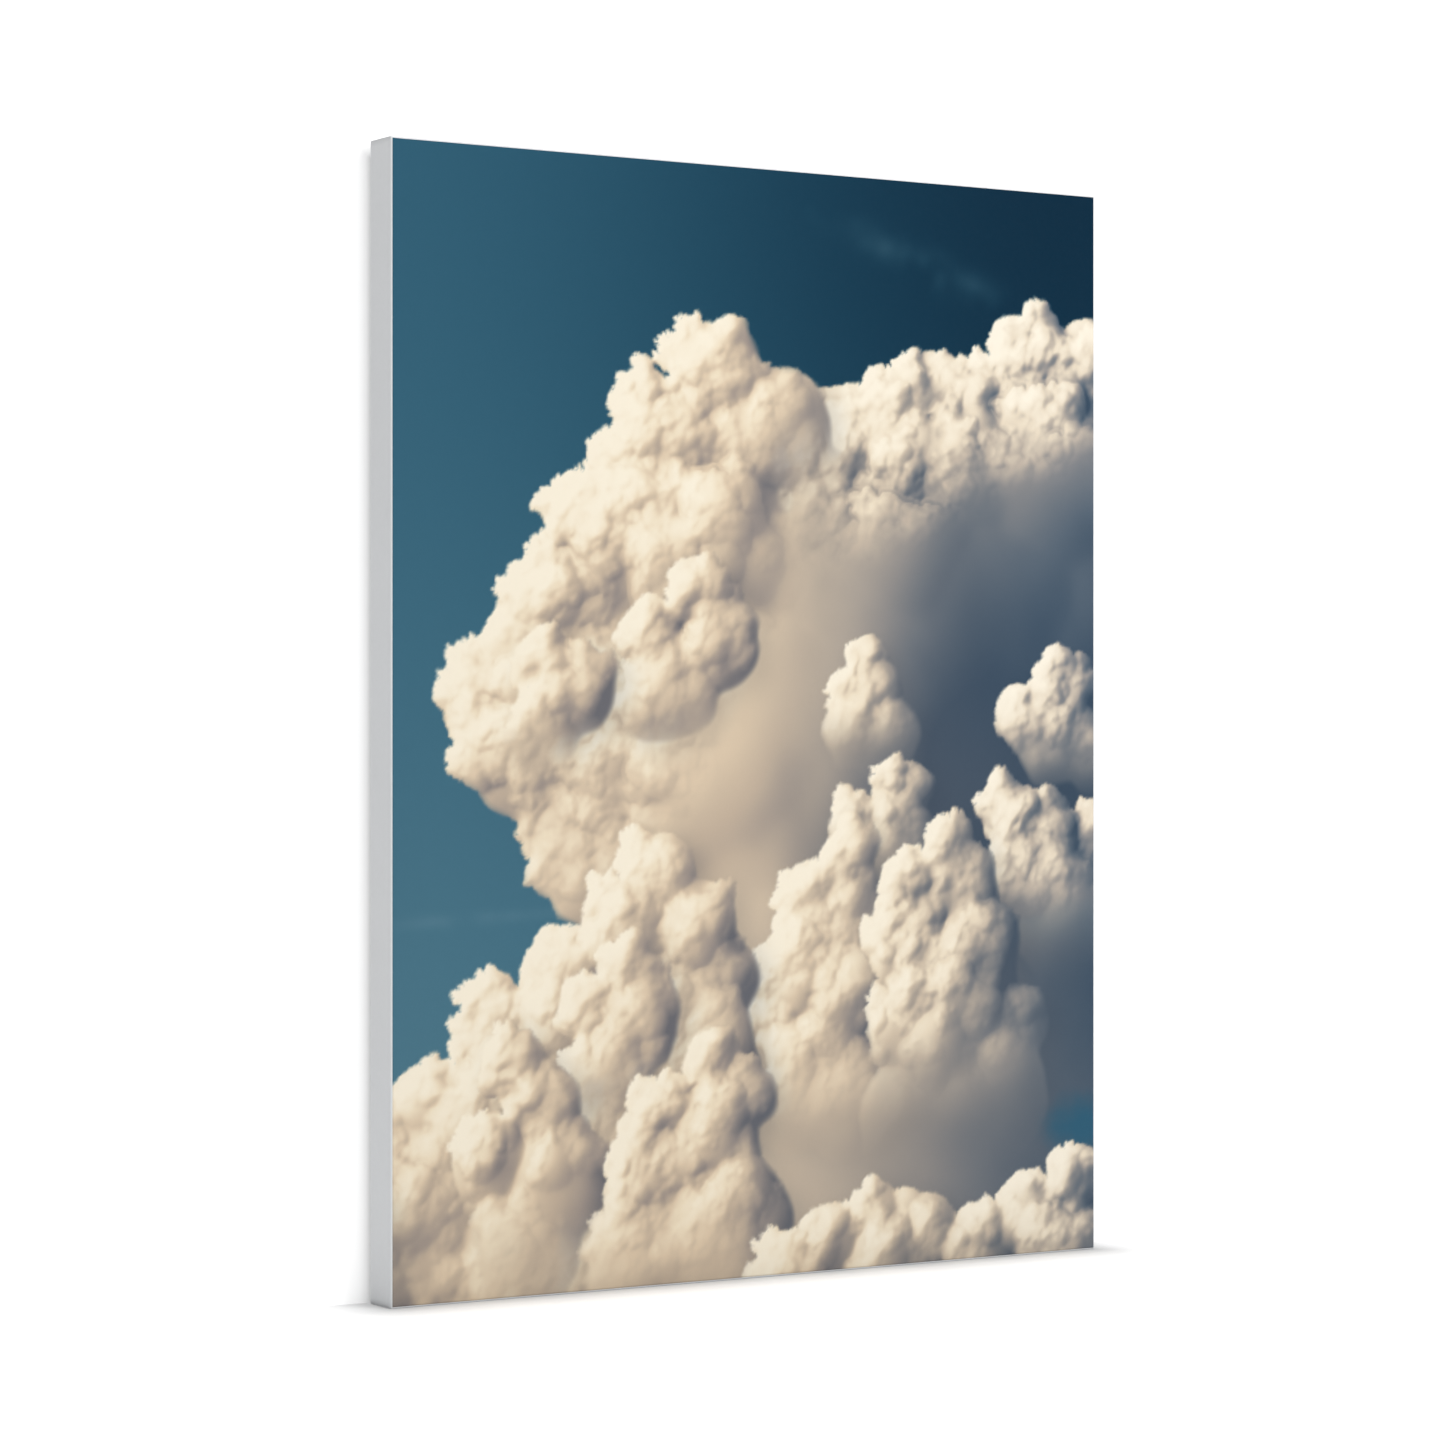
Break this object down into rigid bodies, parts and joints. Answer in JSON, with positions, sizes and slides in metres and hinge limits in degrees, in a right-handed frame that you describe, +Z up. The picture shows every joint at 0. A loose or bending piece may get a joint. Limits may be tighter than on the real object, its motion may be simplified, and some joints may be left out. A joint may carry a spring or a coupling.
{
  "type": "stretched canvas",
  "caption": "Gallery-depth stretched canvas print of a cloudscape on keyed wooden stretcher bars, with a cross brace, stapled hem, corner keys and a hanging wire.",
  "frame": {"origin": "middle of the bottom edge, half way through the depth of the canvas from its picture face to its hem", "axes": "+X to the right seen from the picture side, -Y out of the picture, +Y towards the wall, +Z up"},
  "size_m": [0.762, 0.0458, 1.016],
  "materials": {
    "canvas": "satin",
    "bar_wood": "satin",
    "key_wood": "satin",
    "staple_steel": "satin",
    "hanger_steel": "satin",
    "wire_steel": "satin",
    "bumper_rubber": "matte"
  },
  "bodies": {
    "frame": {"canvas": "canvas", "rail_top": "bar_wood", "rail_bottom": "bar_wood", "stile_left": "bar_wood", "stile_right": "bar_wood", "cross_brace": "bar_wood", "staples_top": "staple_steel", "staples_bottom": "staple_steel", "staples_left": "staple_steel", "staples_right": "staple_steel", "staples_corners": "staple_steel", "hanger_strap_left": "hanger_steel", "hanger_strap_right": "hanger_steel", "hanger_screws": "hanger_steel", "bumper_left": "bumper_rubber", "bumper_right": "bumper_rubber"},
    "key_top_left_a": {"key_top_left_a": "key_wood"},
    "key_top_left_b": {"key_top_left_b": "key_wood"},
    "key_top_right_a": {"key_top_right_a": "key_wood"},
    "key_top_right_b": {"key_top_right_b": "key_wood"},
    "key_bottom_left_a": {"key_bottom_left_a": "key_wood"},
    "key_bottom_left_b": {"key_bottom_left_b": "key_wood"},
    "key_bottom_right_a": {"key_bottom_right_a": "key_wood"},
    "key_bottom_right_b": {"key_bottom_right_b": "key_wood"},
    "ring_left": {"hanger_ring_left": "hanger_steel"},
    "ring_right": {"hanger_ring_right": "hanger_steel"},
    "wire": {"picture_wire": "wire_steel"}
  },
  "joints": [
    {"name": "key_top_left_a_slide", "type": "slide", "parent": "frame", "child": "key_top_left_a", "axis": [0, 0, -1], "range_m": [-0.004, 0.024]},
    {"name": "key_top_left_b_slide", "type": "slide", "parent": "frame", "child": "key_top_left_b", "axis": [1, 0, 0], "range_m": [-0.004, 0.024]},
    {"name": "key_top_right_a_slide", "type": "slide", "parent": "frame", "child": "key_top_right_a", "axis": [0, 0, -1], "range_m": [-0.004, 0.024]},
    {"name": "key_top_right_b_slide", "type": "slide", "parent": "frame", "child": "key_top_right_b", "axis": [-1, 0, 0], "range_m": [-0.004, 0.024]},
    {"name": "key_bottom_left_a_slide", "type": "slide", "parent": "frame", "child": "key_bottom_left_a", "axis": [0, 0, 1], "range_m": [-0.004, 0.024]},
    {"name": "key_bottom_left_b_slide", "type": "slide", "parent": "frame", "child": "key_bottom_left_b", "axis": [1, 0, 0], "range_m": [-0.004, 0.024]},
    {"name": "key_bottom_right_a_slide", "type": "slide", "parent": "frame", "child": "key_bottom_right_a", "axis": [0, 0, 1], "range_m": [-0.004, 0.024]},
    {"name": "key_bottom_right_b_slide", "type": "slide", "parent": "frame", "child": "key_bottom_right_b", "axis": [-1, 0, 0], "range_m": [-0.004, 0.024]},
    {"name": "ring_left_swing", "type": "hinge", "parent": "frame", "child": "ring_left", "pos_m": [-0.3455, 0.02138, 0.716], "axis": [-1, 0, 0], "range_deg": [0, 151]},
    {"name": "ring_right_swing", "type": "hinge", "parent": "frame", "child": "ring_right", "pos_m": [0.3455, 0.02138, 0.716], "axis": [-1, 0, 0], "range_deg": [0, 151]},
    {"name": "wire_swing", "type": "hinge", "parent": "ring_left", "child": "wire", "pos_m": [-0.33855, 0.02286, 0.72533], "axis": [-1, 0, 0], "range_deg": [0, 27]}
  ],
  "couplings": [
    {"joint": "ring_right_swing", "follows": "ring_left_swing", "ratio": 1}
  ]
}
